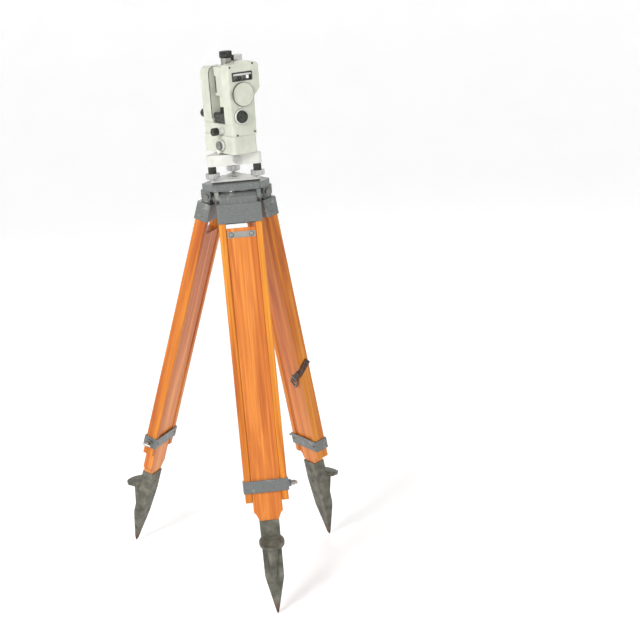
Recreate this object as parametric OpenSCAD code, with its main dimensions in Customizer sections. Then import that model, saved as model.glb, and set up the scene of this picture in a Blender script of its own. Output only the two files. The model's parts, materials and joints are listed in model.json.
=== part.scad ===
// Optical theodolite on an extending wooden tripod.
// Millimetres. +Z is up, the floor is Z = 0, and the Z axis is the instrument's vertical axis.
// The front leg points to -Y.

/* [Tripod] */
// Height of the leg hinges above the floor
hinge_height = 995; // [980:1:1010]
// Distance of each leg hinge from the vertical axis
hinge_radius = 56; // [55:0.5:58]
// Splay of the front leg from the vertical, in degrees
splay_front = 15; // [10:0.5:20]
// Splay of the right leg from the vertical, in degrees
splay_right = 8.5; // [8:0.5:20]
// Splay of the left leg from the vertical, in degrees
splay_left = 19.5; // [10:0.5:22]

/* [Legs] */
// Width over the two rails of a leg
leg_w = 106; // [104:1:107]
// Width of one rail
rail_w = 17; // [14:1:20]
// Thickness of a rail
leg_t = 32; // [28:1:32]
// Thickness of the sliding board
board_t = 26; // [20:1:26]
// Leg length from hinge to tip when fully closed
leg_closed = 1000; // [985:1:1002]
// Length of the cast shoe
shoe_l = 234; // [225:1:234]

/* [Tribrach] */
// Radius on which the foot screws stand
screw_circle = 64; // [60:1:68]
// Radius of a foot screw's knob
foot_knob_r = 17.5; // [14:0.5:18]

/* [Alidade] */
// Turn of the alidade about the vertical axis, in degrees
alidade_turn = 28; // [0:1:360]
// Height of the tilting axis above the floor
tilt_height = 1274; // [1272:1:1276]
// Outer face of the circle-side standard, from the vertical axis
circle_side = 67; // [66:1:68]
// Outer face of the clamp-side standard, from the vertical axis
clamp_side = 72; // [66:1:74]
// Radius of the illumination mirror's ring
mirror_r = 29.5; // [26:0.5:30]

/* [Hidden] */
// Running clearance of shafts, and gap between faces that slide
run = 0.05;
gap = 0.4;
eps = 0.01;
$fn = 48;

// --- leg sizes, measured down from the hinge along the leg ---
leg_out = 2;                    // the leg lies this much outside its hinge
barrel_r = 13;
head_half = 57;                 // half the length of a long side of the head
head_front = 65;                // distance of that side from the axis
slot_half = 46;                 // half the gap between the head's ears
pin_r = 5;
cast_w = leg_w + 3;
cast_t = leg_t + 6;
cast_top = 18;
cast_end = 65;
rail_top = 26;
rail_end = 750;
band_top = 697;
band_h = 30;
band_wall = 3;
board_w = leg_w - 2 * rail_w - 2 * gap;
neck_w = 44;
board_top = 46;                 // when fully closed
band_mid = band_top + band_h / 2;

// --- heights ---
head_under = hinge_height + 17;
head_top = head_under + 16;
plate_top = head_top + 3;
base_top = plate_top + 5;
tribrach_low = base_top + 35;
tribrach_top = tribrach_low + 27;
block_low = tribrach_top + 3;
block_mid = block_low + 43;
floor_z = block_mid + 28;                 // floor of the yoke

// --- alidade plan: X is the sight direction, -Y the circle side ---
front_x = -38;
back_x = 31;
yoke_x = -34;
circle_in = 36;                 // inner face of the circle-side standard
clamp_in = 28;                  // inner face of the clamp-side standard
cover_t = 4;
face_y = -(circle_side + cover_t);
axle_r = 9;
tube_y = -5;                    // axis of the telescope, across the yoke
rear_x = -7;                    // knob that stands in the yoke, beside the telescope
rear_y = 19;
rear_low = 1188.5;
drive_y = -19;
drive_z = block_low + 20;
cap_y = -9;
cap_z = block_low + 4;
tangent_y = -18;
tangent_z = floor_z - 16;
lock_x = 6;
lock_z = tribrach_low + 14;
screw_low = 921;                // lower end of the hollow fixing screw
pin_half = 59.5;                 // half the length of a hinge pin
mirror_x = 0;
mirror_z = tilt_height - 30.5;
micro_x = -10;
micro_z = floor_z + 19;
level_x = -22;
level_z = floor_z + 17;

LEGS = ["front", "right", "left"];
TURNS = [0, 120, -120];
TURNS_UP = [0, 120, 240];
SPLAYS = [splay_front, splay_right, splay_left];

// ---------------------------------------------------------------- helpers

// Box given by its lowest and highest corner.
module span(low, high) {
    translate(low) cube(high - low);
}

// Cylinder along X from x0 to x1, at (y, z).
module rod_x(x0, x1, y, z, r) {
    translate([x0, y, z]) rotate([0, 90, 0]) cylinder(h = x1 - x0, r = r);
}

// Cylinder along Y from y0 to y1, at (x, z).
module rod_y(y0, y1, x, z, r) {
    translate([x, y1, z]) rotate([90, 0, 0]) cylinder(h = y1 - y0, r = r);
}

// Upright cylinder from z0 to z1, at (x, y).
module rod_z(z0, z1, x, y, r) {
    translate([x, y, z0]) cylinder(h = z1 - z0, r = r);
}

// Rectangle from corner a to corner b with round corners, made from exact arcs.
module round_rect(a, b, r) {
    translate([a[0] + r, a[1]]) square([b[0] - a[0] - 2 * r, b[1] - a[1]]);
    translate([a[0], a[1] + r]) square([b[0] - a[0], b[1] - a[1] - 2 * r]);
    for (x = [a[0] + r, b[0] - r], y = [a[1] + r, b[1] - r]) translate([x, y]) circle(r);
}

// Triangle with round corners of radius r, their centres on a circle of radius c.
module round_triangle(c, r) {
    polygon([for (a = [30, 150, 270]) for (s = [-60, 60])
        [c * cos(a + 60) + (r - eps) * cos(a + 60 + s), c * sin(a + 60) + (r - eps) * sin(a + 60 + s)]]);
    for (a = [90, 210, 330]) rotate(a) translate([c, 0]) circle(r);
}

// Length of leg k from hinge to tip, so that the tip stands on the floor.
function leg_length(k) = hinge_height / cos(SPLAYS[k]) + leg_out * tan(SPLAYS[k]);
// How far leg k is drawn out.
function drawn(k) = leg_length(k) - leg_closed;

// Frame of leg k: origin on the hinge, -Z down the leg, -Y outward, X along the hinge.
module on_leg(k) {
    rotate(TURNS[k]) translate([0, -hinge_radius, hinge_height]) rotate([-SPLAYS[k], 0, 0])
        children();
}

// Frame of the drawn-out part of leg k, as if the leg were closed.
module on_slide(k) {
    on_leg(k) translate([0, -leg_out, -drawn(k)]) children();
}

module on_alidade() {
    rotate(alidade_turn) children();
}

// ---------------------------------------------------------------- tripod head

// Bearing ear beside each end of a leg's barrel, on the side of the given sign.
module ear(side) {
    x0 = side > 0 ? slot_half + gap : -head_half;
    x1 = side > 0 ? head_half : -slot_half - gap;
    rod_x(x0, x1, -hinge_radius, hinge_height, barrel_r);
    span([x0, -hinge_radius - barrel_r, hinge_height], [x1, -hinge_radius + barrel_r, head_under + 1]);
}

module head_outline() {
    intersection() {
        polygon([for (a = TURNS_UP) for (side = [-1, 1])
            [side * head_half * cos(a) + head_front * sin(a),
             side * head_half * sin(a) - head_front * cos(a)]]);
        circle(head_half + 28);
    }
}

module tripod_head() {
    color("dimgray") difference() {
        union() {
            translate([0, 0, head_under]) linear_extrude(head_top - head_under) head_outline();
            for (a = TURNS) rotate(a) {
                ear(-1);
                ear(1);
            }
        }
        rod_z(head_under - 1, head_top + 1, 0, 0, 31);
        for (a = TURNS) rotate(a) rod_x(-60, 60, -hinge_radius, hinge_height, pin_r);
    }
}

module spring_plate() {
    color("dimgray") difference() {
        translate([0, 0, head_top]) linear_extrude(plate_top - head_top) round_triangle(screw_circle - 2, 5);
        rod_z(head_top - 1, plate_top + 1, 0, 0, 9);
    }
}

module hinge_pins() {
    color("silver") for (a = TURNS) rotate(a) {
        rod_x(-pin_half, pin_half, -hinge_radius, hinge_height, pin_r);
        for (side = [-1, 1]) translate([side * (pin_half - 0.4), 0, 0])
            rod_x(-1.4, 1.4, -hinge_radius, hinge_height, 8);
    }
}

// Disc that spans the opening of the head from below and carries the fixing screw.
module screw_carrier() {
    color("dimgray") difference() {
        rod_z(head_under - 6, head_under - gap / 2, 0, 0, 33);
        rod_z(head_under - 7, head_under + 1, 0, 0, 8 + run);
    }
}

// Hollow screw that holds the instrument down, with its grip and the hook for the plumb bob.
module fixing_screw() {
    color("silver") difference() {
        union() {
            rod_z(screw_low, base_top - 1, 0, 0, 8);
            rod_z(screw_low, screw_low + 20, 0, 0, 22);
            rod_z(screw_low + 20 - eps, head_under - 6.2, 0, 0, 11);
        }
        rod_z(screw_low - 1, base_top + 1, 0, 0, 5);
        for (a = [0:60:300]) rotate(a) rod_z(screw_low - 1, screw_low + 21, 26, 0, 7);
    }
}

// ---------------------------------------------------------------- legs

module leg_casting(k) {
    color("gray") on_leg(k) difference() {
        union() {
            rod_x(-slot_half, slot_half, 0, 0, barrel_r);
            span([-slot_half, -barrel_r - leg_out, -cast_top - 1], [slot_half, barrel_r - 4, 0]);
            span([-cast_w / 2, -leg_out - cast_t / 2, -cast_end],
                [cast_w / 2, -leg_out + cast_t / 2, -cast_top]);
        }
        rod_x(-slot_half - 1, slot_half + 1, 0, 0, pin_r + run);
        span([-leg_w / 2, -leg_out - leg_t / 2, -cast_end - 1], [leg_w / 2, -leg_out + leg_t / 2, -rail_top]);
    }
}

// One rail: rectangular with its long edges rounded.
module rail(side) {
    r = 4;
    x0 = side > 0 ? leg_w / 2 - rail_w : -leg_w / 2;
    translate([0, 0, -rail_end]) linear_extrude(rail_end - rail_top)
        round_rect([x0, -leg_t / 2], [x0 + rail_w, leg_t / 2], r);
}

module leg_rails(k) {
    color("darkorange") on_leg(k) translate([0, -leg_out, 0]) for (s = [-1, 1]) rail(s);
}

module clamp_band(k) {
    w = leg_w / 2 + band_wall;
    t = leg_t / 2 + band_wall;
    color("gray") on_leg(k) translate([0, -leg_out, 0]) {
        difference() {
            union() {
                span([-w, -t, -band_top - band_h], [w, t, -band_top]);
                rod_x(w - 1, w + 7, 0, -band_mid, 9);
            }
            span([-leg_w / 2, -leg_t / 2, -band_top - band_h - 1], [leg_w / 2, leg_t / 2, -band_top + 1]);
            rod_x(w - 8, w + 8, 0, -band_mid, 4 + run);
        }
    }
}

// Wing screw of the leg clamp, pressing the rails from the side.
module clamp_screw(k) {
    w = leg_w / 2;
    color("silver") on_leg(k) translate([0, -leg_out, 0]) {
        rod_x(w + 0.5, w + 24, 0, -band_mid, 4);
        rod_x(w + 11, w + 19, 0, -band_mid, 6);
        rod_y(-12, 12, w + 22, -band_mid, 3.2);
    }
}

// Sliding board with its lower end narrowed to the neck that enters the shoe.
module board(k) {
    h = board_w / 2;
    n = neck_w / 2;
    shoe_top = leg_closed - shoe_l;
    color("orange") on_slide(k) translate([0, board_t / 2, 0]) rotate([90, 0, 0])
        linear_extrude(board_t) polygon([
            [-h, -board_top], [h, -board_top], [h, 5 - rail_end], [h - 5, -rail_end],
            [n + 2, 1 - shoe_top], [n, -shoe_top], [n - 2, -shoe_top - 50],
            [2 - n, -shoe_top - 50], [-n, -shoe_top], [-n - 2, 1 - shoe_top],
            [5 - h, -rail_end], [-h, 5 - rail_end]
        ]);
}

// Metal strip with two screws across the top of the board.
module board_plate(k) {
    color("silver") on_slide(k) {
        span([-board_w / 2 + 1, -board_t / 2 - 1.2, -board_top - 24], [board_w / 2 - 1, -board_t / 2, -board_top - 9]);
        for (s = [-1, 1]) rod_y(-board_t / 2 - 2.4, -board_t / 2 - 1.2, s * 25, -board_top - 16.5, 4.5);
    }
}

// Cast shoe: socket for the neck, blade, and the round tread on the outer side.
module shoe(k) {
    top = leg_closed - shoe_l;
    wide = neck_w / 2 + 2;
    deep = board_t / 2 + 3;
    color("slategray") on_slide(k) difference() {
        union() {
            intersection() {
                translate([0, deep, 0]) rotate([90, 0, 0]) linear_extrude(2 * deep) polygon([
                    [-wide, -top], [wide, -top], [wide - 1, -top - 140], [3, -leg_closed + 6],
                    [0, -leg_closed], [-3, -leg_closed + 6], [1 - wide, -top - 140]
                ]);
                translate([-wide, 0, 0]) rotate([90, 0, 90]) linear_extrude(2 * wide) polygon([
                    [-deep, -top], [deep, -top], [deep, -top - 60], [3, -leg_closed + 8],
                    [0, -leg_closed], [-4, -leg_closed + 14], [-deep, -top - 130]
                ]);
            }
            tread(top);
        }
        translate([0, board_t / 2, 0]) rotate([90, 0, 0]) linear_extrude(board_t) polygon([
            [-neck_w / 2, -top + 1], [neck_w / 2, -top + 1], [neck_w / 2, -top], [neck_w / 2 - 2, -top - 50],
            [2 - neck_w / 2, -top - 50], [-neck_w / 2, -top]
        ]);
    }
}

// Tread plate and the tapering rib below it, standing out from the shoe's outer face.
module tread(top) {
    out = board_t / 2 + 3;
    translate([0, -out - 16, -top - 54]) rotate([27, 0, 0]) {
        cylinder(h = 8, r = 31);
        translate([0, 0, -6]) cylinder(h = 6 + eps, r1 = 22, r2 = 29);
    }
    translate([0, -out - 14, -top - 54]) rotate([192, 0, 0]) cylinder(h = 86, r1 = 14, r2 = 8);
}

// Leather strap round the edge of the right leg, kept for tying the closed legs together.
module leg_strap() {
    color("saddlebrown") on_leg(1) translate([0, -leg_out, 0]) {
        translate([-leg_w / 2 - 3, -leg_t / 2 - 3, -474]) rotate([-40, 0, 0])
            translate([0, 1, 0]) cube([2.8, 44, 18]);
        translate([-leg_w / 2 + 1, leg_t / 2 + 0.2, -505]) rotate([0, 36, 0]) cube([42, 2.8, 18]);
    }
}

module strap_buckle() {
    color("dimgray") on_leg(1) translate([-15, -leg_out + leg_t / 2 + 1.6, -527]) rotate([90, 54, 0])
        difference() {
            translate([-13, -13, -1.5]) cube([26, 26, 3]);
            translate([-9, -9, -2]) cube([18, 18, 4]);
        }
}

// ---------------------------------------------------------------- tribrach

module base_plate() {
    color("whitesmoke") difference() {
        translate([0, 0, plate_top]) linear_extrude(base_top - plate_top) round_triangle(screw_circle - 2, 7);
        rod_z(plate_top - 1, base_top + 1, 0, 0, 8 + run);
    }
}

// Foot screw i, standing on the base plate and carrying the tribrach.
module foot_screw(i) {
    rotate(-30 - 120 * i) translate([screw_circle, 0, 0]) {
        color("silver") rod_z(base_top + 5, base_top + 19, 0, 0, foot_knob_r);
        color("dimgray") rod_z(base_top + 19 - eps, tribrach_low - 1, 0, 0, 10);
        color("silver") rod_z(base_top + 0.3, base_top + 5 + eps, 0, 0, 5);
        color("silver") rod_z(tribrach_low - 1 - eps, tribrach_top - 6, 0, 0, 4);
    }
}

module tribrach() {
    color("whitesmoke") difference() {
        translate([0, 0, tribrach_low]) linear_extrude(tribrach_top - tribrach_low)
            round_triangle(screw_circle, 12);
        rod_z(tribrach_low - 1, tribrach_top + 1, 0, 0, 22);
        for (a = [-30, -150, 90]) rotate(a) rod_z(tribrach_low - 1, tribrach_top - 5, screw_circle, 0, 4 + run);
        rod_y(-50, -34, lock_x, lock_z, 4 + run);
    }
}

module lock_knob() {
    color("silver") {
        rod_y(-45, -35, lock_x, lock_z, 4);
        rod_y(-48.5, -44.6, lock_x, lock_z, 10);
        rod_y(-54, -48.5 + eps, lock_x, lock_z, 7);
    }
}

// Graduated glass circle on its collar, which stands on the tribrach inside the housing.
module horizontal_circle() {
    color("lightcyan") difference() {
        union() {
            rod_z(tribrach_top, block_low + 18, 0, 0, 25);
            rod_z(block_low + 14, block_low + 18, 0, 0, 27.5);
        }
        rod_z(tribrach_top - 1, block_low + 19, 0, 0, 22 + run);
    }
}

module spindle() {
    color("silver") on_alidade() difference() {
        rod_z(tribrach_low + 8, block_low + 26, 0, 0, 22 - run);
        rod_z(tribrach_low + 7, block_low + 27, 0, 0, 7);
    }
}

// ---------------------------------------------------------------- alidade

module lower_housing() {
    color("beige") on_alidade() difference() {
        union() {
            translate([0, 0, block_low]) linear_extrude(block_mid - block_low)
                round_rect([front_x, -circle_side - cover_t], [back_x, clamp_side], 9);
            translate([0, 0, block_mid]) linear_extrude(floor_z - block_mid)
                round_rect([yoke_x, -circle_side], [back_x, clamp_side], 8);
        }
        rod_z(block_low - 1, block_low + 26, 0, 0, 28.5);
        rod_x(front_x - 1, front_x + 7.5, drive_y, drive_z, 5 + run);
        rod_x(front_x - 1, front_x + 5, cap_y, cap_z, 3);
        rod_x(yoke_x - 1, yoke_x + 12, tangent_y, tangent_z, 4 + run);
    }
}

// Outline of the circle-side standard in the X-Z plane, drawn in by i.
function standard_outline(i) = [
    [-36 + i, floor_z + i], [-36 + i, tilt_height + 32 - i], [-31 + i, tilt_height + 41 - i],
    [21, tilt_height + 48 - i], [45 - i, tilt_height + 43 - i], [49.7 - i, tilt_height + 37 - i],
    [49.7 - i, tilt_height - 19 + i], [back_x + 1 - i, tilt_height - 37 + i], [back_x - i, floor_z + i]
];

// Extrudes an X-Z outline from y0 to y1.
module slab_y(y0, y1) {
    translate([0, y1, 0]) rotate([90, 0, 0]) linear_extrude(y1 - y0) children();
}

module circle_standard() {
    color("beige") on_alidade() difference() {
        slab_y(-circle_side, -circle_in) polygon(standard_outline(0));
        slab_y(-circle_side - 1, -circle_in - 6) polygon(standard_outline(5));
        rod_y(-circle_side - 1, -circle_in + 1, 0, tilt_height, axle_r + run);
    }
}

// Cover plate over the circle-side standard, with the window of the index level.
module circle_cover() {
    color("beige") on_alidade() difference() {
        union() {
            slab_y(face_y, -circle_side) polygon(standard_outline(0));
            span([yoke_x + 4, face_y, block_mid], [back_x, -circle_side, floor_z + 1]);
            span([-29, -circle_side - eps, tilt_height - 2], [33, -circle_side + 7, tilt_height + 26]);
        }
        span([-26, face_y - 1, tilt_height + 1], [30, -circle_side + 4, tilt_height + 23]);
        rod_y(face_y - 1, -circle_side + 3, micro_x, micro_z, 6 + run);
    }
}

module cover_screws() {
    color("dimgray") on_alidade()
        for (p = [[-31, tilt_height + 36], [33, tilt_height + 40], [-24, floor_z - 25], [25, floor_z - 21]])
            rod_y(face_y - 0.8, face_y - eps, p[0], p[1], 2.4);
}

module clamp_standard() {
    top = tilt_height + 33;
    color("beige") on_alidade() difference() {
        slab_y(clamp_in, clamp_side) polygon([
            [-32, floor_z], [-32, top - 14], [-28, top - 5], [-20, top],
            [18, top], [26, top - 5], [30, top - 14], [30, floor_z]
        ]);
        rod_y(clamp_in - 1, clamp_side - 6, 0, tilt_height, axle_r + run);
        rod_y(clamp_side - 10, clamp_side + 1, -20, micro_z, 5 + run);
        span([-33, clamp_in + 8, tilt_height - 23], [-31, clamp_in + 9.5, tilt_height + 10]);
    }
}

// Fixed collars of the knobs: tangent sleeve, drive collar and micrometer collar.
module knob_sleeves() {
    color("beige") on_alidade() {
        difference() {
            translate([yoke_x - eps, tangent_y, tangent_z]) rotate([0, -90, 0]) cylinder(h = 14, r1 = 9, r2 = 6);
            rod_x(yoke_x - 16, yoke_x, tangent_y, tangent_z, 4 + run);
        }
        difference() {
            rod_x(front_x - 6, front_x - eps, drive_y, drive_z, 12.5);
            rod_x(front_x - 7, front_x, drive_y, drive_z, 5 + run);
        }
        difference() {
            rod_y(face_y - 5, face_y - eps, micro_x, micro_z, 18.5);
            rod_y(face_y - 6, face_y, micro_x, micro_z, 15);
        }
    }
}

module tangent_knob() {
    color("black") on_alidade() {
        rod_x(yoke_x - 30, yoke_x - 14.4, tangent_y, tangent_z, 9.5);
        rod_x(yoke_x - 14.4 - eps, yoke_x + 10, tangent_y, tangent_z, 4);
    }
}

module drive_knob() {
    color("dimgray") on_alidade() {
        rod_x(front_x - 14, front_x - 6.3, drive_y, drive_z, 10.6);
        rod_x(front_x - 6.3 - eps, front_x + 6, drive_y, drive_z, 5);
    }
}

module housing_cap() {
    color("white") on_alidade() {
        rod_x(front_x - 9, front_x, cap_y, cap_z + 0.6, 5.8);
        rod_x(front_x - eps, front_x + 4.9, cap_y, cap_z, 3);
    }
}

// Mount of the plate level between the standards, slotted on top to show its vial.
module level_housing() {
    color("dimgray") on_alidade() difference() {
        union() {
            rod_y(-circle_in + gap, clamp_in - gap, level_x, level_z, 8);
            span([level_x - 5, -circle_in + gap, floor_z], [level_x + 5, clamp_in - gap, level_z - 4]);
        }
        rod_y(-26, 18, level_x, level_z, 5.5);
        span([level_x - 4, -24, level_z], [level_x + 4, 12, level_z + 9]);
    }
}

// Glass vials of the plate level and of the vertical circle's index level.
module level_vials() {
    color("palegreen") on_alidade() {
        rod_y(-25.5, 17.5, level_x, level_z, 5.4);
        rod_x(-25.5, 29.5, -circle_side - 0.5, tilt_height + 17, 4.5);
    }
}

module rear_knob() {
    color("black") on_alidade() {
        rod_z(rear_low, rear_low + 18, rear_x, rear_y, 6.5);
        rod_z(floor_z + gap, rear_low + eps, rear_x, rear_y, 3.5);
    }
}

module micrometer_knob() {
    color("black") on_alidade() {
        rod_y(face_y - 10, face_y - 0.4, micro_x, micro_z, 14.5);
        rod_y(face_y - 0.4 - eps, -circle_side, micro_x, micro_z, 6);
    }
}

module clamp_knob() {
    color("black") on_alidade() {
        rod_y(clamp_side + 8, clamp_side + 20, -20, micro_z, 11);
        rod_y(clamp_side + gap, clamp_side + 8 + eps, -20, micro_z, 9);
        rod_y(clamp_side - 9, clamp_side + gap + eps, -20, micro_z, 5);
    }
}

// ---------------------------------------------------------------- mirror

module mirror_ring() {
    color("beige") on_alidade() {
        difference() {
            rod_y(face_y - 4, face_y - 0.3, mirror_x, mirror_z, mirror_r);
            rod_y(face_y - 5, face_y + 1, mirror_x, mirror_z, mirror_r - 1.6);
        }
        rod_z(mirror_z - 6, mirror_z + 6, mirror_x - mirror_r - 0.5, face_y - 5.5, 2);
    }
}

module mirror_flap() {
    r = mirror_r - 1.65;
    color("beige") on_alidade() {
        rod_y(face_y - 5.4, face_y - 2.6, mirror_x, mirror_z, r);
        translate([mirror_x, 0, mirror_z]) rotate([0, 31, 0])
            span([r - 7, face_y - 7.4, -7], [r - 2, face_y - 5.4 + eps, 7]);
    }
}

module mirror_glass() {
    color("lightblue") on_alidade()
        rod_y(face_y - 2.6 + eps, face_y - 0.8, mirror_x, mirror_z, mirror_r - 4);
}

// ---------------------------------------------------------------- telescope

module eyepiece_tube() {
    color("silver") on_alidade() difference() {
        rod_z(tilt_height + 33, tilt_height + 53.6, 0, tube_y, 12.8);
        rod_z(tilt_height + 32, tilt_height + 55, 0, tube_y, 10);
    }
}

module optical_sight() {
    z = tilt_height;
    color("silver") on_alidade() difference() {
        union() {
            span([16.8, tube_y - 10, z + 40], [40.5, tube_y + 10, z + 59.5]);
            span([16.8, tube_y - 5, z + 33], [24, tube_y + 5, z + 41]);
        }
        span([16, tube_y - 6, z + 45], [22, tube_y + 6, z + 56]);
    }
}

module telescope() {
    z = tilt_height;
    color("beige") on_alidade() difference() {
        union() {
            rod_z(z - 62, z - 30, 0, tube_y, 23.5);
            translate([0, 0, z - 35]) linear_extrude(68) round_rect([-26, tube_y - 25], [26, tube_y + 25], 8);
            rod_y(-57, 62, 0, z, axle_r);
        }
        rod_z(z - 63, z + 26, 0, tube_y, 19);
        rod_z(z - 63, z + 34, 0, tube_y, 10);
    }
}

// Knurled ring at the eyepiece end that focuses the telescope.
module focus_ring() {
    z = tilt_height + 54;
    color("black") on_alidade() difference() {
        rod_z(z, z + 16, 0, tube_y, 15.5);
        rod_z(z - 1, z + 17, 0, tube_y, 9.6);
    }
}

module telescope_lenses() {
    z = tilt_height;
    color("lightblue") on_alidade() {
        rod_z(z - 59, z - 53, 0, tube_y, 19);
        difference() {
            rod_z(z + 34, z + 68, 0, tube_y, 9.4);
            rod_z(z + 33, z + 60, 0, tube_y, 8);
        }
    }
}

module vertical_circle() {
    color("lightcyan") on_alidade() difference() {
        rod_y(-54, -50, 0, tilt_height, 28);
        rod_y(-55, -49, 0, tilt_height, axle_r);
    }
}

// ---------------------------------------------------------------- output

tripod_head();
spring_plate();
hinge_pins();
screw_carrier();
fixing_screw();
for (k = [0:2]) {
    leg_casting(k);
    leg_rails(k);
    clamp_band(k);
    clamp_screw(k);
    board(k);
    board_plate(k);
    shoe(k);
    foot_screw(k);
}
leg_strap();
strap_buckle();
base_plate();
tribrach();
lock_knob();
horizontal_circle();
spindle();
lower_housing();
circle_standard();
circle_cover();
cover_screws();
clamp_standard();
knob_sleeves();
tangent_knob();
drive_knob();
housing_cap();
level_housing();
level_vials();
rear_knob();
micrometer_knob();
clamp_knob();
mirror_ring();
mirror_flap();
mirror_glass();
eyepiece_tube();
optical_sight();
telescope();
focus_ring();
telescope_lenses();
vertical_circle();
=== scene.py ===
"""Optical theodolite on a wooden tripod: materials, fine detail, light and camera."""

import json
import math

import bpy
from mathutils import Matrix, Vector


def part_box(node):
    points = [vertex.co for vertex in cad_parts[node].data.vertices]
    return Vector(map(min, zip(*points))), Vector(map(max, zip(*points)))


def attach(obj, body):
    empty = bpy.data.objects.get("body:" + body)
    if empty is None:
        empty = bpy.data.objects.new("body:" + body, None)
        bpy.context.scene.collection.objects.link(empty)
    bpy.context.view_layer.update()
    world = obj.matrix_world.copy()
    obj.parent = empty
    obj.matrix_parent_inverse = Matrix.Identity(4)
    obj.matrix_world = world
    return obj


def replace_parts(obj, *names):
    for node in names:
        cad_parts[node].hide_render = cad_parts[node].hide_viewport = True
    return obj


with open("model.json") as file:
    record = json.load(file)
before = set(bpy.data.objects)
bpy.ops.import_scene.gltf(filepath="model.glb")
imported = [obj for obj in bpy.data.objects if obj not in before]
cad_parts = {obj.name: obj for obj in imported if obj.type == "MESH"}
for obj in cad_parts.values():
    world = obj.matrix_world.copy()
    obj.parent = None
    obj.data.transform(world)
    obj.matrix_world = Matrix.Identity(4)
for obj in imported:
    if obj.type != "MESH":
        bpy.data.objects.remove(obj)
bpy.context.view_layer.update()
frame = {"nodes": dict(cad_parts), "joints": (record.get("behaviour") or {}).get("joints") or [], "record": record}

LEGS = ("front", "right", "left")
LEG_TURN = {"front": 0.0, "right": 120.0, "left": -120.0}
JOINTS = {joint["child"]: joint for joint in frame["joints"]}
SLOTS = {part["node"]: part["material_slot"] for part in frame["record"]["subparts"]}
BODY_OF = {}
for body_name, body_nodes in frame["record"]["behaviour"]["bodies"].items():
    for body_node in body_nodes:
        BODY_OF[body_node] = body_name


def leg_across(leg):
    """Level unit vector across a leg."""
    turn = math.radians(LEG_TURN[leg])
    return Vector((math.cos(turn), math.sin(turn), 0))


# ---------------------------------------------------------------- camera

CAMERA_PLACE = Vector((-0.136, -3.447, 1.638))
CAMERA_AZIMUTH = math.radians(-5.33)
CAMERA_ELEVATION = math.radians(16.0)
CAMERA_ROLL = math.radians(-4.13)
CAMERA_LENS = 78.8
SENSOR_WIDTH = 36.0


def add_camera():
    """The photograph's viewpoint: a little left of the front leg, looking slightly down."""
    level = math.cos(CAMERA_ELEVATION)
    ahead = math.cos(CAMERA_AZIMUTH) * level
    aside = -math.sin(CAMERA_AZIMUTH) * level
    look = Vector((aside, ahead, -math.sin(CAMERA_ELEVATION)))
    right = look.cross(Vector((0, 0, 1))).normalized()
    up = right.cross(look)
    rolled_right = math.cos(CAMERA_ROLL) * right + math.sin(CAMERA_ROLL) * up
    rolled_up = math.cos(CAMERA_ROLL) * up - math.sin(CAMERA_ROLL) * right
    data = bpy.data.cameras.new("camera")
    data.lens = CAMERA_LENS
    data.sensor_width = SENSOR_WIDTH
    camera = bpy.data.objects.new("camera", data)
    bpy.context.collection.objects.link(camera)
    turn = Matrix((rolled_right, rolled_up, -look)).transposed()
    camera.matrix_world = Matrix.Translation(CAMERA_PLACE) @ turn.to_4x4()
    bpy.context.scene.camera = camera


# ---------------------------------------------------------------- shader helpers

COAT_ROUGHNESS = 0.12
SPECULAR_LEVEL = 0.4


def colour(hex_code):
    """Linear RGBA of an sRGB hex code."""
    parts = [int(hex_code[i:i + 2], 16) / 255 for i in (0, 2, 4)]
    return [p / 12.92 if p <= 0.04045 else ((p + 0.055) / 1.055) ** 2.4 for p in parts] + [1.0]


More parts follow.
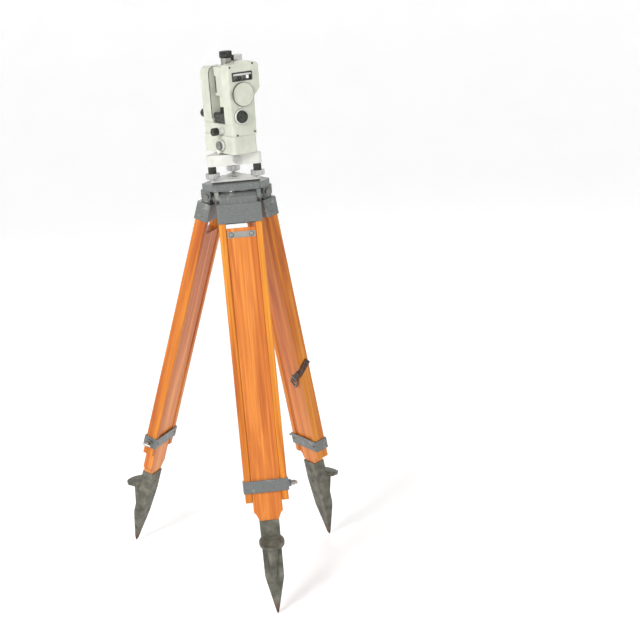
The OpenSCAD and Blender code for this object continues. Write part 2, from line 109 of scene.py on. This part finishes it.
class Shader:
    """A material with a Principled surface and short calls for the nodes used here."""

    def __init__(self, name, roughness=0.5, metallic=0.0, coat=0.0):
        self.material = bpy.data.materials.new(name)
        self.material.use_nodes = True
        self.tree = self.material.node_tree
        self.surface = self.tree.nodes["Principled BSDF"]
        self.surface.inputs["Roughness"].default_value = roughness
        self.surface.inputs["Metallic"].default_value = metallic
        self.surface.inputs["Coat Weight"].default_value = coat
        self.surface.inputs["Coat Roughness"].default_value = COAT_ROUGHNESS
        self.surface.inputs["Specular IOR Level"].default_value = SPECULAR_LEVEL
        self.place = self.add("ShaderNodeTexCoord").outputs["Object"]

    def add(self, kind):
        return self.tree.nodes.new(kind)

    def link(self, source, target):
        self.tree.links.new(source, target)

    def mapped(self, source, rotation=(0, 0, 0), scale=(1, 1, 1)):
        """Coordinates turned and stretched."""
        node = self.add("ShaderNodeMapping")
        node.inputs["Rotation"].default_value = rotation
        node.inputs["Scale"].default_value = scale
        self.link(source, node.inputs["Vector"])
        return node.outputs["Vector"]

    def noise(self, scale, detail, source=None, distortion=0.0):
        """Grey cloudy pattern with about scale patches per unit of its coordinates."""
        node = self.add("ShaderNodeTexNoise")
        node.inputs["Scale"].default_value = scale
        node.inputs["Detail"].default_value = detail
        node.inputs["Distortion"].default_value = distortion
        self.link(source or self.place, node.inputs["Vector"])
        return node.outputs["Fac"]

    def cells(self, scale):
        """Grey pattern of small round cells."""
        node = self.add("ShaderNodeTexVoronoi")
        node.inputs["Scale"].default_value = scale
        self.link(self.place, node.inputs["Vector"])
        return node.outputs["Distance"]

    def ramp(self, source, stops):
        """Colours for a grey pattern, as stops of (position, rgba)."""
        node = self.add("ShaderNodeValToRGB")
        elements = node.color_ramp.elements
        elements[0].position, elements[0].color = stops[0]
        elements[1].position, elements[1].color = stops[-1]
        for position, rgba in stops[1:-1]:
            elements.new(position).color = rgba
        self.link(source, node.inputs["Fac"])
        return node.outputs["Color"]

    def mix(self, factor, first, second, mode="MIX"):
        """Blend of two colours, each a value or a pattern."""
        node = self.add("ShaderNodeMix")
        node.data_type = "RGBA"
        node.blend_type = mode
        if isinstance(factor, float):
            node.inputs["Factor"].default_value = factor
        else:
            self.link(factor, node.inputs["Factor"])
        for value, socket in ((first, node.inputs["A"]), (second, node.inputs["B"])):
            if isinstance(value, list):
                socket.default_value = value
            else:
                self.link(value, socket)
        return node.outputs["Result"]

    def paint(self, source):
        """Set the surface colour, from a value or a pattern."""
        if isinstance(source, list):
            self.surface.inputs["Base Color"].default_value = source
        else:
            self.link(source, self.surface.inputs["Base Color"])

    def rough(self, source, low, high):
        """Let a pattern move the roughness between low and high."""
        node = self.add("ShaderNodeMapRange")
        node.inputs["To Min"].default_value = low
        node.inputs["To Max"].default_value = high
        self.link(source, node.inputs["Value"])
        self.link(node.outputs["Result"], self.surface.inputs["Roughness"])

    def bump(self, source, strength, distance):
        """Let a pattern raise the surface by up to distance in metres."""
        node = self.add("ShaderNodeBump")
        node.inputs["Strength"].default_value = strength
        node.inputs["Distance"].default_value = distance
        self.link(source, node.inputs["Height"])
        self.link(node.outputs["Normal"], self.surface.inputs["Normal"])

    def low_band(self, start, end):
        """1 below height start, fading to 0 at height end."""
        split = self.add("ShaderNodeSeparateXYZ")
        self.link(self.place, split.inputs["Vector"])
        node = self.add("ShaderNodeMapRange")
        node.inputs["From Min"].default_value = start
        node.inputs["From Max"].default_value = end
        node.inputs["To Min"].default_value = 1.0
        node.inputs["To Max"].default_value = 0.0
        self.link(split.outputs["Z"], node.inputs["Value"])
        return node.outputs["Result"]


# ---------------------------------------------------------------- materials

def grain_rotation(leg):
    """Euler angles that bring the leg's own axes onto X, Y and Z."""
    down = Vector(JOINTS["slide_" + leg]["axis"])
    across = leg_across(leg)
    outward = down.cross(across)
    return Matrix((across, outward, -down)).to_euler("XYZ")


def wood(name, leg, dark, middle, light):
    """Varnished straight-grained wood with the grain along the leg."""
    shader = Shader(name, coat=0.18)
    along = shader.mapped(shader.place, rotation=grain_rotation(leg))
    fibre_place = shader.mapped(along, scale=(240, 240, 5))
    figure_place = shader.mapped(along, scale=(28, 28, 1.6))
    pore_place = shader.mapped(along, scale=(900, 900, 30))
    fibres = shader.noise(scale=1.0, detail=6.0, source=fibre_place, distortion=0.6)
    figure = shader.noise(scale=1.0, detail=3.0, source=figure_place, distortion=1.2)
    pores = shader.noise(scale=1.0, detail=2.0, source=pore_place)
    base = shader.ramp(figure, [(0.3, colour(dark)), (0.5, colour(middle)), (0.72, colour(light))])
    fine = shader.ramp(fibres, [(0.35, colour("d4a67a")), (0.6, colour("ffffff"))])
    shader.paint(shader.mix(0.55, base, fine, "MULTIPLY"))
    shader.rough(fibres, low=0.34, high=0.5)
    shader.bump(pores, strength=0.12, distance=0.0004)
    return shader.material


def hammered_grey():
    """Hammered enamel on the castings."""
    shader = Shader("hammered_grey", metallic=0.35, coat=0.25)
    dents = shader.cells(scale=420)
    speckle = shader.noise(scale=900, detail=3.0)
    wear = shader.noise(scale=35, detail=6.0)
    base = shader.ramp(speckle, [(0.35, colour("565958")), (0.6, colour("7c807e"))])
    worn = shader.ramp(wear, [(0.62, colour("000000")), (0.72, colour("ffffff"))])
    shader.paint(shader.mix(worn, base, colour("94948d")))
    shader.rough(dents, low=0.3, high=0.5)
    shader.bump(dents, strength=0.35, distance=0.0006)
    return shader.material


def enamel(name, light, shade, roughness=0.34):
    """Old glossy enamel with faint blotches and a fine orange-peel surface."""
    shader = Shader(name, roughness, coat=0.3)
    blotch = shader.noise(scale=26, detail=6.0)
    peel = shader.noise(scale=1500, detail=2.0)
    shader.paint(shader.ramp(blotch, [(0.3, colour(shade)), (0.62, colour(light))]))
    shader.rough(blotch, low=roughness - 0.06, high=roughness + 0.12)
    shader.bump(peel, strength=0.07, distance=0.0003)
    return shader.material


def bare_metal(name, tint, roughness):
    """Machined metal with fine level marks and duller patches."""
    shader = Shader(name, roughness, metallic=1.0)
    mark_place = shader.mapped(shader.place, scale=(30, 30, 900))
    marks = shader.noise(scale=1.0, detail=4.0, source=mark_place)
    dull = shader.noise(scale=60, detail=5.0)
    shader.paint(shader.mix(dull, colour(tint), colour("8f8d88")))
    shader.rough(dull, low=roughness * 0.7, high=roughness * 1.4)
    shader.bump(marks, strength=0.08, distance=0.0002)
    return shader.material


def black_grip(name, dark, light):
    """Black or grey anodised grip with worn, dusty patches."""
    shader = Shader(name, 0.42, metallic=0.15)
    dust = shader.noise(scale=240, detail=5.0)
    shader.paint(shader.ramp(dust, [(0.4, colour(dark)), (0.7, colour(light))]))
    shader.rough(dust, low=0.35, high=0.6)
    shader.bump(dust, strength=0.15, distance=0.0002)
    return shader.material


def shoe_iron():
    """Painted cast iron, earth-stained, with rust towards the tip."""
    shader = Shader("shoe_iron", 0.55, metallic=0.25)
    grit = shader.noise(scale=260, detail=8.0)
    blotch = shader.noise(scale=45, detail=6.0)
    paint = shader.ramp(blotch, [(0.3, colour("4c4b43")), (0.52, colour("66655a")), (0.7, colour("7e7b6e"))])
    rust = shader.ramp(grit, [(0.3, colour("3c2a22")), (0.65, colour("6e4636"))])
    shader.paint(shader.mix(shader.low_band(start=0.008, end=0.04), paint, rust))
    shader.rough(grit, low=0.45, high=0.8)
    shader.bump(grit, strength=0.5, distance=0.0008)
    return shader.material


def leather():
    """Dark worn leather."""
    shader = Shader("leather", 0.5, coat=0.1)
    creases = shader.cells(scale=700)
    patches = shader.noise(scale=90, detail=5.0)
    shader.paint(shader.ramp(patches, [(0.35, colour("2b1a12")), (0.65, colour("5a3c2b"))]))
    shader.rough(patches, low=0.38, high=0.65)
    shader.bump(creases, strength=0.4, distance=0.0005)
    return shader.material


def clear_glass(name, tint):
    """Coated glass with a little dust in the roughness."""
    clean, dusty = 0.03, 0.09
    shader = Shader(name, clean)
    shader.surface.inputs["Transmission Weight"].default_value = 0.85
    shader.surface.inputs["IOR"].default_value = 1.5
    shader.paint(colour(tint))
    shader.rough(shader.noise(scale=180, detail=4.0), low=clean, high=dusty)
    return shader.material


# The grain runs along the leg, so every leg has its own two woods: one for its rails, one for its board.
WOODS = {}
for leg_name in LEGS:
    WOODS["leg_rails_" + leg_name] = wood("rail_wood_" + leg_name, leg_name, "a84c0c", "cf7814", "e69a28")
    WOODS["board_" + leg_name] = wood("board_wood_" + leg_name, leg_name, "bc641c", "d9802c", "ec9e48")

FINISHES = {
    "casting_grey": hammered_grey(),
    "bright_steel": bare_metal("bright_steel", "b9b7b1", 0.32),
    "chrome_part": bare_metal("chrome_part", "e6e6e4", 0.16),
    "iron_shoe": shoe_iron(),
    "leather_strap": leather(),
    "buckle_steel": bare_metal("buckle_steel", "6b6a66", 0.4),
    "body_paint": enamel("body_paint", "cccebf", "babdad"),
    "tribrach_paint": enamel("tribrach_paint", "d9d9d3", "c6c6bf"),
    "black_knob": black_grip("black_knob", "1c1e1b", "50544c"),
    "grey_knob": black_grip("grey_knob", "666a66", "949892"),
    "dark_metal": black_grip("dark_metal", "2b2c29", "5c5d57"),
    "white_cap": enamel("white_cap", "f4f4ef", "e4e4de", 0.25),
    "glass_part": clear_glass("glass_part", "d5e4da"),
    "mirror_part": bare_metal("mirror_part", "eef0f0", 0.06),
}
# Nodes whose look differs from that of their slot.
NODE_FINISHES = {
    "mirror_ring": "buckle_steel",
    "hinge_pins": "buckle_steel",
    "level_vials": "chrome_part",
    "board_plate_front": "bright_steel",
    "board_plate_right": "bright_steel",
    "board_plate_left": "bright_steel",
    "knob_sleeves": "tribrach_paint",
}


WELD_DISTANCE = 0.00002
WIDEST_EDGE = 0.0012
EDGE_SHARE = 0.05                  # edge width as a share of the node's smallest side
SHARP_ANGLE = math.radians(32)


def finish_node(name):
    """Soft edges, weighted normals and the procedural material of one CAD node."""
    node = frame["nodes"][name]
    node.data.materials.clear()
    node.data.materials.append(WOODS.get(name) or FINISHES[NODE_FINISHES.get(name, SLOTS[name])])
    node.data.shade_smooth()
    weld = node.modifiers.new("weld", "WELD")
    weld.merge_threshold = WELD_DISTANCE
    low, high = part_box(name)
    smallest = min(high[i] - low[i] for i in range(3))
    bevel = node.modifiers.new("bevel", "BEVEL")
    bevel.limit_method = "ANGLE"
    bevel.angle_limit = SHARP_ANGLE
    bevel.width = min(WIDEST_EDGE, EDGE_SHARE * smallest)
    bevel.segments = 2
    normals = node.modifiers.new("normals", "WEIGHTED_NORMAL")
    normals.keep_sharp = True


for node_name in frame["nodes"]:
    finish_node(node_name)


# ---------------------------------------------------------------- fine pieces

TILT_HEIGHT = JOINTS["telescope"]["pos_m"][2]
SMOOTH_SIDES = 48                  # sides of a turned piece without flutes
BOX_FACES = [(3, 2, 1, 0), (4, 5, 6, 7), (0, 1, 5, 4), (1, 2, 6, 5), (2, 3, 7, 6), (3, 0, 4, 7)]


def add_piece(name, vertices, faces, body, slot):
    """One mesh piece that rides on a body and takes its finish from a slot."""
    mesh = bpy.data.meshes.new(name)
    mesh.from_pydata(vertices, [], faces)
    mesh.materials.append(FINISHES[slot])
    piece = bpy.data.objects.new(name, mesh)
    bpy.context.collection.objects.link(piece)
    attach(piece, body)
    return piece


def axis_frame(origin, axis):
    """Matrix whose Z runs along axis from origin."""
    turn = Vector((0, 0, 1)).rotation_difference(Vector(axis).normalized()).to_matrix().to_4x4()
    return Matrix.Translation(Vector(origin)) @ turn


def joint_frame(body):
    """Matrix whose Z runs along the body's joint, from the joint's own point."""
    return axis_frame(JOINTS[body]["pos_m"], JOINTS[body]["axis"])


def lathe(name, place, profile, body, slot, flutes=0, depth=0.0):
    """A turned piece. profile is (height, radius, fluted); fluted rings have grooves cut inwards."""
    count = max(SMOOTH_SIDES, flutes * 4)
    vertices = []
    for height, radius, fluted in profile:
        for i in range(count):
            angle = 2 * math.pi * i / count
            groove = depth if fluted and flutes and i % 4 >= 2 else 0.0
            r = radius - groove
            vertices.append(place @ Vector((r * math.cos(angle), r * math.sin(angle), height)))
    faces = []
    for ring in range(len(profile) - 1):
        for i in range(count):
            j = (i + 1) % count
            a, b = ring * count, (ring + 1) * count
            faces.append((a + i, a + j, b + j, b + i))
    faces.append(tuple(reversed(range(count))))
    faces.append(tuple(range((len(profile) - 1) * count, len(profile) * count)))
    return add_piece(name, vertices, faces, body, slot)


def box_corners(place, low, high):
    """The eight corners of a box in the frame of place, bottom four first."""
    outline = ((low[0], low[1]), (high[0], low[1]), (high[0], high[1]), (low[0], high[1]))
    return [place @ Vector((x, y, z)) for z in (low[2], high[2]) for x, y in outline]


# ---------------------------------------------------------------- knobs and screws of the instrument

def grip(name, node, slot, radius, start, length, shaft, flutes, depth):
    """A knurled knob that replaces a CAD knob: a grip on a smooth shaft.

    start is where the grip begins along the joint's axis, from the joint's own point.
    shaft is the start and the radius of the shaft, and depth is how deep the flutes are."""
    body = BODY_OF[node]
    shaft_start, shaft_radius = shaft
    chamfer = 0.0008
    dish, dish_edge, dish_floor = 0.0006, radius * 0.72, radius * 0.68
    end = start + length
    shoulder = radius - chamfer - depth
    profile = [
        (shaft_start, shaft_radius, False), (start, shaft_radius, False),
        (start, shoulder, False), (start + chamfer, radius, True),
        (end - chamfer, radius, True), (end, shoulder, False),
        (end, dish_edge, False), (end - dish, dish_floor, False),
    ]
    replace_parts(lathe(name, joint_frame(body), profile, body, slot, flutes, depth), node)


def add_grips():
    """The knurled knobs of the alidade."""
    grip("micrometer_grip", "micrometer_knob", "black_knob", radius=0.0145, start=-0.0046, length=0.0096,
         shaft=(-0.005, 0.006), flutes=30, depth=0.0009)
    grip("clamp_grip", "clamp_knob", "black_knob", radius=0.011, start=0.0, length=0.012,
         shaft=(-0.017, 0.005), flutes=22, depth=0.0009)
    grip("tangent_grip", "tangent_knob", "black_knob", radius=0.0095, start=-0.0076, length=0.0156,
         shaft=(-0.032, 0.004), flutes=20, depth=0.0009)
    grip("drive_grip", "drive_knob", "grey_knob", radius=0.0106, start=-0.0007, length=0.0077,
         shaft=(-0.013, 0.005), flutes=24, depth=0.0007)
    grip("rear_grip", "rear_knob", "black_knob", radius=0.0065, start=-0.0085, length=0.018,
         shaft=(-0.0246, 0.0035), flutes=14, depth=0.0006)


def add_focus_ring():
    """Ring with coarse grooves round the eyepiece."""
    half, chamfer = 0.008, 0.001
    bore, lip, shoulder, radius = 0.0098, 0.0108, 0.0138, 0.0155
    inner = half - chamfer
    profile = [
        (-inner, bore, False), (-half, lip, False), (-half, shoulder, False), (-inner, radius, True),
        (inner, radius, True), (half, shoulder, False), (half, lip, False), (inner, bore, False),
    ]
    place = axis_frame(JOINTS["focus"]["pos_m"], (0, 0, 1))
    piece = lathe("focus_grip", place, profile, "focus", "black_knob", flutes=20, depth=0.0014)
    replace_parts(piece, "focus_ring")


def add_foot_screws():
    """Scalloped bright discs under black collars, on their spindles."""
    stem, disc_radius, disc_edge, disc_hole = 0.005, 0.0175, 0.016, 0.009
    disc_low, disc_full, disc_narrowing, disc_top = 0.0047, 0.0056, 0.0176, 0.0187
    collar_radius, collar_edge = 0.010, 0.0085
    collar_full, collar_narrowing, collar_top = 0.0192, 0.0325, 0.0333
    spindle, spindle_top = 0.004, 0.0555
    groove = 0.0006
    disc = [
        (0.0, stem, False), (disc_low, stem, False), (disc_low, disc_edge, False),
        (disc_full, disc_radius, True), (disc_narrowing, disc_radius, True),
        (disc_top, disc_edge, False), (disc_top, disc_hole, False),
    ]
    collar = [
        (disc_top, collar_edge, False), (collar_full, collar_radius, True),
        (collar_narrowing, collar_radius, True), (collar_top, collar_edge, False),
        (collar_top, spindle, False), (spindle_top, spindle, False),
    ]
    for number in (1, 2, 3):
        node = "foot_screw_" + str(number)
        body = BODY_OF[node]
        low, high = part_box(node)
        foot = ((low[0] + high[0]) / 2, (low[1] + high[1]) / 2, low[2])
        place = axis_frame(foot, (0, 0, 1))
        bright = lathe("foot_disc_" + str(number), place, disc, body, "chrome_part", 26, groove)
        dark = lathe("foot_collar_" + str(number), place, collar, body, "black_knob", 22, groove)
        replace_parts(bright, node)
        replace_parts(dark, node)


# ---------------------------------------------------------------- screw heads of the legs

# Lengths in metres. Heads start a little under the face that carries them, so that no gap shows.
LEG_MIDDLE = 0.002                 # the leg's middle plane, outward from its hinge
CASTING_SIDE = 0.0543              # screws in the casting's side faces, from the leg's middle
CASTING_SCREWS = (0.036, 0.054)    # and their distances down the leg
BAND_SIDE = 0.0455                 # heads on the clamp band, from the leg's middle
BAND_DOWN = 0.712                  # down the leg
BAND_FACE = 0.0188                 # and inward from the leg's middle plane
SHOE_LENGTH = 0.234
SHOE_RIVETS = (0.030, 0.062)       # heads on the shoe, below its top
SHOE_FACE = 0.0157                 # and inward from the leg's middle plane
PLATE_SCREW_SIDE = 0.025           # screws of the board's top plate, from the leg's middle
PLATE_SCREW_OUT = 0.0012           # and outward from the middle of the plate's box
SLOT_LENGTH = 0.8                  # half a screwdriver slot's length and width, as shares of the
SLOT_WIDTH = 0.13                  # screw's radius


def slot_mark(name, origin, axis, radius, heights, body):
    """A thin dark bar of painted shade for the screwdriver slot of a screw of that radius."""
    half_length, half_width = radius * SLOT_LENGTH, radius * SLOT_WIDTH
    low = (-half_length, -half_width, heights[0])
    high = (half_length, half_width, heights[1])
    # Painted shade: the cut of the slot is drawn as a dark bar, not as a groove.
    add_piece(name, box_corners(axis_frame(origin, axis), low, high), BOX_FACES, body, "dark_metal")


def screw_head(name, origin, axis, radius, height, body, slot):
    """A domed slotted screw head; the shade in the slot is painted as a thin dark bar."""
    sunk = 0.0005
    rim, dome = height * 0.45, height * 0.85
    slot_low, slot_high = height * 0.4, height * 1.02
    profile = [
        (-sunk, radius, False), (rim, radius, False),
        (dome, radius * 0.75, False), (height, radius * 0.3, False),
    ]
    lathe(name, axis_frame(origin, axis), profile, body, slot)
    slot_mark(name + "_slot", origin, axis, radius, (slot_low, slot_high), body)


def leg_axes(leg):
    """Hinge point, and unit vectors across the leg, outward from it and down along it."""
    hinge = Vector(JOINTS["leg_" + leg]["pos_m"])
    down = Vector(JOINTS["slide_" + leg]["axis"]).normalized()
    across = leg_across(leg)
    outward = down.cross(across)
    if outward.dot(Vector((hinge.x, hinge.y, 0))) < 0:
        outward = outward * -1
    return hinge, across, outward, down


def millimetres(length):
    """A length as a whole number of millimetres, for a piece's name."""
    return round(length * 1000)


def add_leg_hardware():
    """Slotted heads on the sides of the castings and the inner faces of the clamp bands and shoes."""
    for leg in LEGS:
        hinge, across, outward, down = leg_axes(leg)
        upper, lower = "leg_" + leg, "slide_" + leg
        middle = hinge + outward * LEG_MIDDLE
        for side in (-1, 1):
            for along in CASTING_SCREWS:
                spot = middle + across * side * CASTING_SIDE + down * along
                screw_head(f"casting_screw_{leg}_{side}_{millimetres(along)}", spot, across * side,
                           radius=0.0032, height=0.0012, body=upper, slot="casting_grey")
            spot = middle + across * side * BAND_SIDE + down * BAND_DOWN - outward * BAND_FACE
            screw_head(f"band_rivet_{leg}_{side}", spot, -outward,
                       radius=0.003, height=0.0012, body=upper, slot="dark_metal")
        length = middle.z / -down.z
        for row in SHOE_RIVETS:
            spot = middle + down * (length - SHOE_LENGTH + row) - outward * SHOE_FACE
            screw_head(f"shoe_rivet_{leg}_{millimetres(row)}", spot, -outward,
                       radius=0.004, height=0.002, body=lower, slot="iron_shoe")


def add_plate_screws():
    """Dark rims, bright crowns and painted slot shade of the two screws on each board's top plate."""
    crown_radius = 0.0034
    rim = [(-0.0014, 0.0062, False), (0.0001, 0.0060, False), (0.0004, 0.0052, False)]
    crown = [(0.0002, crown_radius, False), (0.0006, crown_radius, False), (0.0008, 0.0026, False)]
    for leg in LEGS:
        body = "slide_" + leg
        low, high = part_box("board_plate_" + leg)
        centre = (Vector(low) + Vector(high)) / 2
        across, outward = leg_axes(leg)[1:3]
        for side in (-1, 1):
            spot = centre + across * side * PLATE_SCREW_SIDE + outward * PLATE_SCREW_OUT
            place = axis_frame(spot, outward)
            lathe(f"plate_rim_{leg}_{side}", place, rim, body, "dark_metal")
            lathe(f"plate_screw_{leg}_{side}", place, crown, body, "bright_steel")
            slot_mark(f"plate_slot_{leg}_{side}", spot, outward, crown_radius, (0.0006, 0.00095), body)


# ---------------------------------------------------------------- details of the alidade

def alidade_place():
    """Matrix of the alidade's own frame: X is the sight direction, -Y the circle side."""
    axis = Vector(JOINTS["telescope"]["axis"])
    turn = math.atan2(-axis.x, axis.y)
    return Matrix.Rotation(turn, 4, "Z")


def bar(name, low, high, body, slot):
    """Box with soft edges in the alidade's frame. Heights are measured from the tilting axis."""
    edge_share = 0.2
    low = (low[0], low[1], TILT_HEIGHT + low[2])
    high = (high[0], high[1], TILT_HEIGHT + high[2])
    piece = add_piece(name, box_corners(alidade_place(), low, high), BOX_FACES, body, slot)
    bevel = piece.modifiers.new("bevel", "BEVEL")
    bevel.width = edge_share * min(high[i] - low[i] for i in range(3))
    bevel.segments = 3


def add_window():
    """The index level's recess: dark frame, grey back, a bright prism whose white is a painted highlight, and the
    level's round end.
    """
    start, end = -0.0258, 0.0298
    bottom, top = 0.0012, 0.0228
    back, front, cheek_front = -0.0636, -0.0708, -0.0724
    frame_back = -0.064
    sill, lintel, cheek_top = 0.003, 0.0208, 0.0222
    cheek, back_thick = 0.003, 0.0005
    prism_back = -0.069
    bar("window_back", (start, back, bottom), (end, back + back_thick, top), "alidade", "grey_knob")
    bar("window_top", (start, front, lintel), (end, frame_back, top), "alidade", "dark_metal")
    bar("window_bottom", (start, front, bottom), (end, frame_back, sill), "alidade", "dark_metal")
    for name, low_x in (("window_start", start), ("window_end", end - cheek)):
        bar(name, (low_x, cheek_front, sill), (low_x + cheek, frame_back, cheek_top), "alidade", "dark_metal")
    # Painted highlight: the glass's bright look is painted as white enamel on these bars.
    bar("window_prism", (-0.021, -0.0706, 0.0148), (0.023, prism_back, 0.0192), "alidade", "white_cap")
    bar("window_prism_foot", (0.014, -0.0702, 0.006), (0.021, prism_back, 0.0145), "alidade", "white_cap")
    place = alidade_place()
    centre = place @ Vector((-0.004, prism_back, TILT_HEIGHT + 0.0085))
    axis = place.to_3x3() @ Vector((0, -1, 0))
    lens = [(0, 0.0052, False), (0.0012, 0.0052, False), (0.0017, 0.004, False)]
    lathe("window_lens", axis_frame(centre, axis), lens, "alidade", "black_knob")


def add_seal():
    """A dark strip of painted shade along the front edge and the arch of the clamp-side standard, where the recess
    next to the telescope lies in shadow.
    """
    inner_y, outer_y = 0.0283, 0.0312
    thick, sunk = 0.0008, 0.0003
    front, crown = -0.0320, 0.033
    # Place in the alidade's X and height over the tilting axis, and the way out of the surface there.
    path = [(front, -0.092, -1, 0), (front, 0.019, -1, 0), (-0.0280, 0.028, -0.7, 0.7),
            (-0.0200, crown, -0.3, 0.9), (-0.004, crown, 0, 1)]
    place = alidade_place()
    vertices = []
    for x, height, out_x, out_z in path:
        z = TILT_HEIGHT + height
        for y in (inner_y, outer_y):
            vertices.append(place @ Vector((x - sunk * out_x, y, z - sunk * out_z)))
            vertices.append(place @ Vector((x + thick * out_x, y, z + thick * out_z)))
    faces = [(0, 2, 3, 1)]
    for a in range(0, 4 * (len(path) - 1), 4):
        b = a + 4
        faces += [(a, a + 1, b + 1, b), (a + 1, a + 3, b + 3, b + 1),
                  (a + 3, a + 2, b + 2, b + 3), (a + 2, a, b, b + 2)]
    last = 4 * (len(path) - 1)
    faces.append((last, last + 1, last + 3, last + 2))
    # Painted shade: a thin dark sheet laid where the recess between the standard and the telescope is in shadow.
    add_piece("standard_seal", vertices, faces, "alidade", "dark_metal")


def add_telescope_details():
    """A dark bar of painted shade on the telescope's front, where the recess next to the clamp-side standard lies
    in shadow, and the dark window of the optical sight.
    """
    # Painted shade: a dark bar where the deep recess between the telescope and the clamp-side standard is in
    # shadow.
    bar("telescope_slot", (-0.0266, 0.0075, -0.028), (-0.0256, 0.0125, 0.012), "telescope", "dark_metal")
    bar("sight_window", (0.0169, -0.0108, 0.0452), (0.0215, 0.0008, 0.0558), "telescope", "black_knob")


def add_rings():
    """Thin dark rings of painted shadow round the micrometer's raised collar and the drive knob's boss."""
    thick = 0.0006
    # Each ring is painted shadow: dark colour where the raised collar or boss casts a shadow.
    for name, node, height, radius in (("micrometer_line", "micrometer_knob", -0.0048, 0.0192),
                                       ("drive_line", "drive_knob", -0.0069, 0.0131)):
        ring = [(height, radius, False), (height + thick, radius, False)]
        lathe(name, joint_frame(BODY_OF[node]), ring, "alidade", "buckle_steel")


add_grips()
add_seal()
add_telescope_details()
add_rings()
add_plate_screws()
add_focus_ring()
add_foot_screws()
add_leg_hardware()
add_window()


# ---------------------------------------------------------------- studio

FLOOR_DROP = 0.0003                # the floor lies this far under the tips, so that nothing flickers
FLAT_RADIUS = 6.5
BEND_RADIUS = 2.0
WALL_HEIGHT = 9.0
LIGHT_TARGET = Vector((0, 0, 0.8))  # a little above the object's middle
WORLD_STRENGTH = 0.28
FLOOR_GLOW = 0.25
WHITE = (1.0, 1.0, 1.0, 1.0)


def floor_mesh():
    """A wide bowl: flat floor that curves up into a wall far from the object on every side."""
    around, flat_steps, bend_steps = 96, 4, 16
    section = [(FLAT_RADIUS * i / flat_steps, 0.0) for i in range(1, flat_steps + 1)]
    for i in range(1, bend_steps + 1):
        angle = math.pi / 2 * i / bend_steps
        section.append((FLAT_RADIUS + BEND_RADIUS * math.sin(angle), BEND_RADIUS * (1 - math.cos(angle))))
    section.append((FLAT_RADIUS + BEND_RADIUS, WALL_HEIGHT))
    turns = [2 * math.pi * i / around for i in range(around)]
    vertices = [(r * math.cos(t), r * math.sin(t), z - FLOOR_DROP) for r, z in section for t in turns]
    faces = [tuple(range(around))]
    for ring in range(len(section) - 1):
        low, high = ring * around, (ring + 1) * around
        for i in range(around):
            j = (i + 1) % around
            faces.append((low + i, high + i, high + j, low + j))
    mesh = bpy.data.meshes.new("floor")
    mesh.from_pydata(vertices, [], faces)
    mesh.shade_smooth()
    return mesh


def add_floor():
    """The pale stage, which glows a little so that it comes out nearly white."""
    shader = Shader("studio_white", 0.6)
    grain = shader.noise(scale=6, detail=3.0)
    shader.paint(shader.ramp(grain, [(0.3, colour("f6f6f6")), (0.7, colour("fafafa"))]))
    shader.surface.inputs["Emission Color"].default_value = WHITE
    shader.surface.inputs["Emission Strength"].default_value = FLOOR_GLOW
    mesh = floor_mesh()
    mesh.materials.append(shader.material)
    floor = bpy.data.objects.new("floor", mesh)
    bpy.context.collection.objects.link(floor)


def add_light(name, place, size, power):
    """A round area light that points at the object."""
    data = bpy.data.lights.new(name, "AREA")
    data.shape = "DISK"
    data.size = size
    data.energy = power
    light = bpy.data.objects.new(name, data)
    bpy.context.collection.objects.link(light)
    light.location = place
    light.rotation_euler = (LIGHT_TARGET - Vector(place)).to_track_quat("-Z", "Y").to_euler()


def add_lights():
    """Soft even studio light, brightest from the upper left."""
    add_light("key", (-2.4, -3.0, 3.2), size=1.6, power=120)
    add_light("fill", (3.0, -2.4, 2.2), size=2.4, power=8)
    add_light("back", (0.8, 2.6, 3.4), size=2.2, power=26)
    world = bpy.data.worlds.new("studio")
    world.use_nodes = True
    background = world.node_tree.nodes["Background"]
    background.inputs["Color"].default_value = WHITE
    background.inputs["Strength"].default_value = WORLD_STRENGTH
    bpy.context.scene.world = world


bpy.context.scene.view_settings.view_transform = "Standard"
add_floor()
add_lights()
add_camera()
